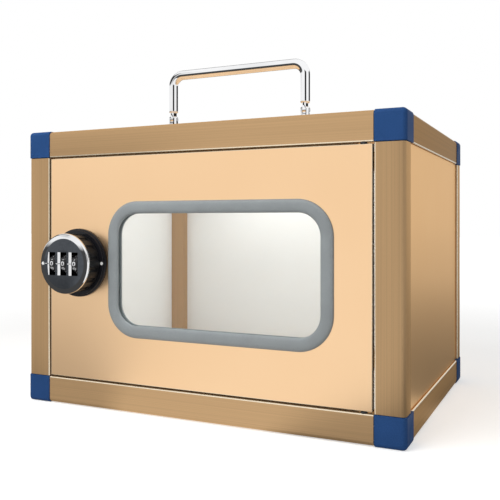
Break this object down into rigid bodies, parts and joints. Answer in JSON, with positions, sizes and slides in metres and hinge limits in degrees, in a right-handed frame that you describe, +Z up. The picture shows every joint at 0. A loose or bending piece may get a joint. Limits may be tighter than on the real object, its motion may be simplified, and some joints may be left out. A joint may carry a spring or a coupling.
{
  "type": "portable safe",
  "caption": "Portable box safe of champagne aluminium profiles with blue corner caps, a pivoted windowed door, a number wheel knob lock and a folding rod handle on top.",
  "frame": {"origin": "centre of the object's footprint, knob included, in the plane of the four lower caps' undersides", "axes": "+X to the right seen from the front, +Y from the door to the back, +Z up"},
  "size_m": [0.3, 0.2386, 0.2655],
  "materials": {
    "frame": "satin",
    "panel": "satin",
    "corner": "satin",
    "gasket": "matte",
    "pane": "gloss",
    "chrome": "polished",
    "lock_black": "gloss",
    "knob_black": "satin",
    "wheel": "satin",
    "steel": "satin",
    "nylon": "matte",
    "white_dot": "gloss"
  },
  "bodies": {
    "case": {"corner_front_left_bottom": "corner", "corner_front_right_bottom": "corner", "corner_rear_left_bottom": "corner", "corner_rear_right_bottom": "corner", "corner_front_left_top": "corner", "corner_front_right_top": "corner", "corner_rear_left_top": "corner", "corner_rear_right_top": "corner", "rail_front_bottom": "frame", "rail_front_top": "frame", "rail_rear_bottom": "frame", "rail_rear_top": "frame", "rail_left_bottom": "frame", "rail_left_top": "frame", "rail_right_bottom": "frame", "rail_right_top": "frame", "post_front_left": "frame", "post_front_right": "frame", "post_rear_left": "frame", "post_rear_right": "frame", "panel_left": "panel", "panel_right": "panel", "panel_rear": "panel", "panel_top": "panel", "panel_bottom": "panel", "hinge_bush_upper": "nylon", "hinge_bush_lower": "nylon", "handle_post_left": "chrome", "handle_post_right": "chrome", "handle_pin_left": "steel", "handle_pin_right": "steel", "handle_screws": "steel", "handle_washers": "steel"},
    "handle": {"handle_bar": "chrome"},
    "door": {"door_panel": "panel", "window_gasket": "gasket", "window_pane": "pane", "hinge_pin_upper": "steel", "hinge_pin_lower": "steel", "lock_housing": "lock_black", "lock_washer": "steel", "lock_nut": "steel", "housing_dot": "white_dot"},
    "knob": {"knob_body": "knob_black", "knob_face": "chrome", "face_dot": "white_dot", "wheel_axle": "steel", "spindle": "steel", "lock_cam": "steel", "cam_washer": "steel", "cam_screw": "steel"},
    "wheel_left": {"number_wheel_left": "wheel"},
    "wheel_middle": {"number_wheel_middle": "wheel"},
    "wheel_right": {"number_wheel_right": "wheel"}
  },
  "joints": [
    {"name": "handle_fold", "type": "hinge", "parent": "case", "child": "handle", "pos_m": [0, -0.0317, 0.2257], "axis": [1, 0, 0], "range_deg": [-90, 90]},
    {"name": "door_swing", "type": "hinge", "parent": "case", "child": "door", "pos_m": [0.1223, -0.0977, 0.106], "axis": [0, 0, 1], "range_deg": [0, 120]},
    {"name": "knob_turn", "type": "hinge", "parent": "door", "child": "knob", "pos_m": [-0.1006, -0.0997, 0.11], "axis": [0, 1, 0], "range_deg": [0, 90]},
    {"name": "wheel_left_turn", "type": "hinge", "parent": "knob", "child": "wheel_left", "pos_m": [-0.111, -0.1123, 0.11], "axis": [1, 0, 0], "continuous": true},
    {"name": "wheel_middle_turn", "type": "hinge", "parent": "knob", "child": "wheel_middle", "pos_m": [-0.1006, -0.1123, 0.11], "axis": [1, 0, 0], "continuous": true},
    {"name": "wheel_right_turn", "type": "hinge", "parent": "knob", "child": "wheel_right", "pos_m": [-0.0902, -0.1123, 0.11], "axis": [1, 0, 0], "continuous": true}
  ]
}
